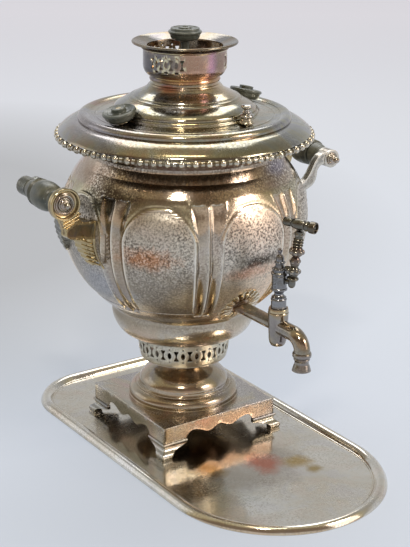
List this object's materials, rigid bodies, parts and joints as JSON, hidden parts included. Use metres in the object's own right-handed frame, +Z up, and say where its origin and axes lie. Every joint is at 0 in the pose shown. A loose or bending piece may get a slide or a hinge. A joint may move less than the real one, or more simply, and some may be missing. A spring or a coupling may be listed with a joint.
{
  "type": "samovar",
  "caption": "Charcoal samovar on a matching tray: fluted urn with a plug tap, turned handles, lid with steam vent, fire tube, pierced gallery and teapot crown.",
  "frame": {"origin": "on the urn's vertical axis, on the flat underside of the tray, where it meets the table", "axes": "+Z up along the urn's axis, -Y towards the tap and the tray's round end, +X and -X towards the handles"},
  "size_m": [0.391, 0.488, 0.4742],
  "materials": {
    "plated": "tarnished silver plate",
    "gilt": "worn gilt",
    "iron": "blackened",
    "steel": "dull",
    "dark": "dark green-black lacquer"
  },
  "bodies": {
    "tray": {"tray": "plated"},
    "urn": {"plinth": "plated", "foot_front_left": "plated", "foot_front_right": "plated", "foot_back_left": "plated", "foot_back_right": "plated", "pedestal": "plated", "lower_gallery": "gilt", "bowl": "plated", "body_shell": "plated", "brim": "plated", "brim_beads": "plated", "fire_tube": "iron", "grate": "iron", "bracket_left_front": "plated", "bracket_left_back": "plated", "bracket_right_front": "plated", "bracket_right_back": "plated", "grip_left": "dark", "grip_right": "dark", "grip_rods": "iron", "grip_finials": "plated", "tap_body": "plated", "tap_rosette": "gilt", "tap_backnut": "gilt"},
    "lid": {"lid": "plated", "lid_knob_posts": "gilt", "lid_knob_left": "dark", "lid_knob_right": "dark", "steam_vent_seat": "gilt"},
    "vent_cap": {"steam_vent_cap": "plated"},
    "crown": {"crown_wall": "plated", "crown_saucer": "plated"},
    "chimney_cap": {"chimney_cap": "iron", "chimney_cap_knob": "dark"},
    "key": {"tap_key": "steel", "tap_branch": "steel", "tap_crossbar": "dark"}
  },
  "joints": [
    {"name": "urn_lift", "type": "slide", "parent": "tray", "child": "urn", "axis": [0, 0, 1], "range_m": [0, 0.08]},
    {"name": "lid_lift", "type": "slide", "parent": "urn", "child": "lid", "axis": [0, 0, 1], "range_m": [0, 0.12]},
    {"name": "vent_cap_lift", "type": "slide", "parent": "lid", "child": "vent_cap", "axis": [0, 0, 1], "range_m": [0, 0.012]},
    {"name": "crown_lift", "type": "slide", "parent": "lid", "child": "crown", "axis": [0, 0, 1], "range_m": [0, 0.1]},
    {"name": "chimney_cap_lift", "type": "slide", "parent": "crown", "child": "chimney_cap", "axis": [0, 0, 1], "range_m": [0, 0.08]},
    {"name": "key_turn", "type": "hinge", "parent": "urn", "child": "key", "pos_m": [0, -0.1805, 0.1812], "axis": [0, 0, 1], "range_deg": [-90, 90]}
  ]
}
